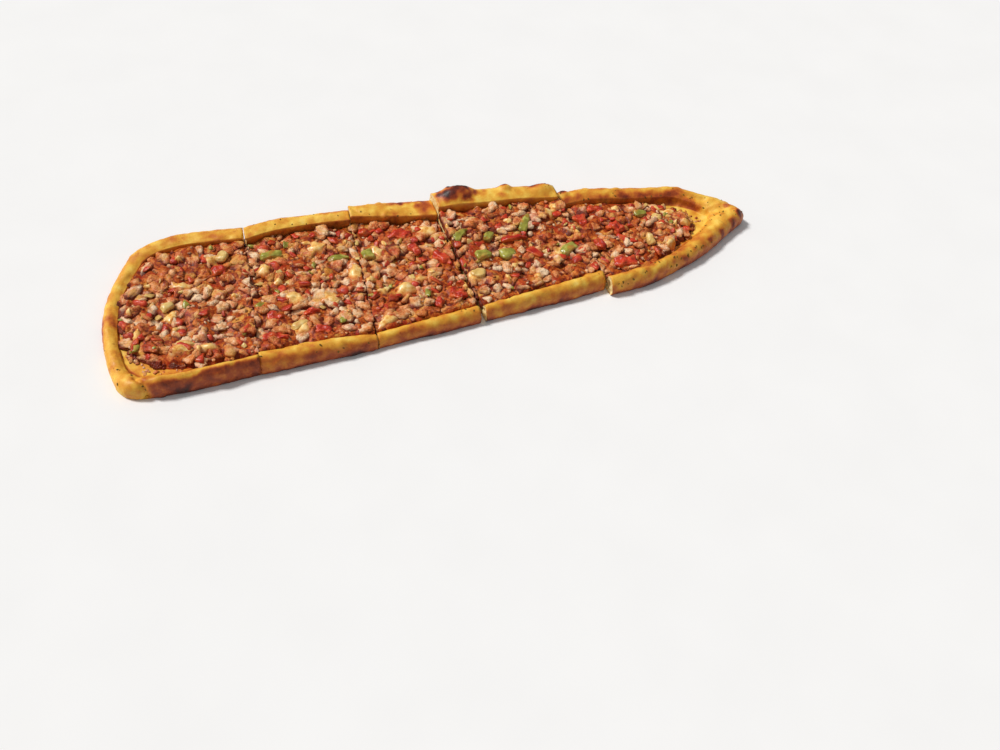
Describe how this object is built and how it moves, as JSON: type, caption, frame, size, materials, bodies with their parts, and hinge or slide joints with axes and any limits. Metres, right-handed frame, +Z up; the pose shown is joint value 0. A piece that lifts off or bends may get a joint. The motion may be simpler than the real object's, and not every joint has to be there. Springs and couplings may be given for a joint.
{
  "type": "turkish pide",
  "caption": "Long boat-shaped flatbread with raised crust, filled with diced meat, tomato and pepper, cut across into slices that still lie together.",
  "frame": {"origin": "middle of the underside of the whole pide", "axes": "+X along the pide towards its pointed tip, +Y across it towards the rim with the puffed flap, +Z up"},
  "size_m": [0.5432, 0.1554, 0.0327],
  "materials": {
    "baked_dough": "golden baked dough, matt with a slight oil sheen, toasted and charred spots",
    "meat_filling": "oily diced meat with tomato sauce and melted cheese",
    "green_pepper": "roasted, glossy skin",
    "tomato": "wet cooked flesh",
    "red_pepper": "roasted, glossy skin",
    "onion": "translucent cooked flesh"
  },
  "bodies": {
    "root": {"green_pepper_1": "green_pepper", "green_pepper_10": "green_pepper", "green_pepper_11": "green_pepper", "green_pepper_2": "green_pepper", "green_pepper_3": "green_pepper", "green_pepper_4": "green_pepper", "green_pepper_5": "green_pepper", "green_pepper_6": "green_pepper", "green_pepper_7": "green_pepper", "green_pepper_8": "green_pepper", "green_pepper_9": "green_pepper", "onion_1": "onion", "onion_2": "onion", "onion_3": "onion", "onion_4": "onion", "onion_5": "onion", "onion_6": "onion", "onion_7": "onion", "red_pepper_1": "red_pepper", "red_pepper_2": "red_pepper", "slice_1_dough": "baked_dough", "slice_1_filling": "meat_filling", "slice_2_dough": "baked_dough", "slice_2_filling": "meat_filling", "slice_3_dough": "baked_dough", "slice_3_filling": "meat_filling", "slice_4_dough": "baked_dough", "slice_4_filling": "meat_filling", "slice_5_dough": "baked_dough", "slice_5_filling": "meat_filling", "tomato_1": "tomato", "tomato_10": "tomato", "tomato_11": "tomato", "tomato_12": "tomato", "tomato_13": "tomato", "tomato_14": "tomato", "tomato_15": "tomato", "tomato_16": "tomato", "tomato_17": "tomato", "tomato_2": "tomato", "tomato_3": "tomato", "tomato_4": "tomato", "tomato_5": "tomato", "tomato_6": "tomato", "tomato_7": "tomato", "tomato_8": "tomato", "tomato_9": "tomato"}
  },
  "joints": []
}
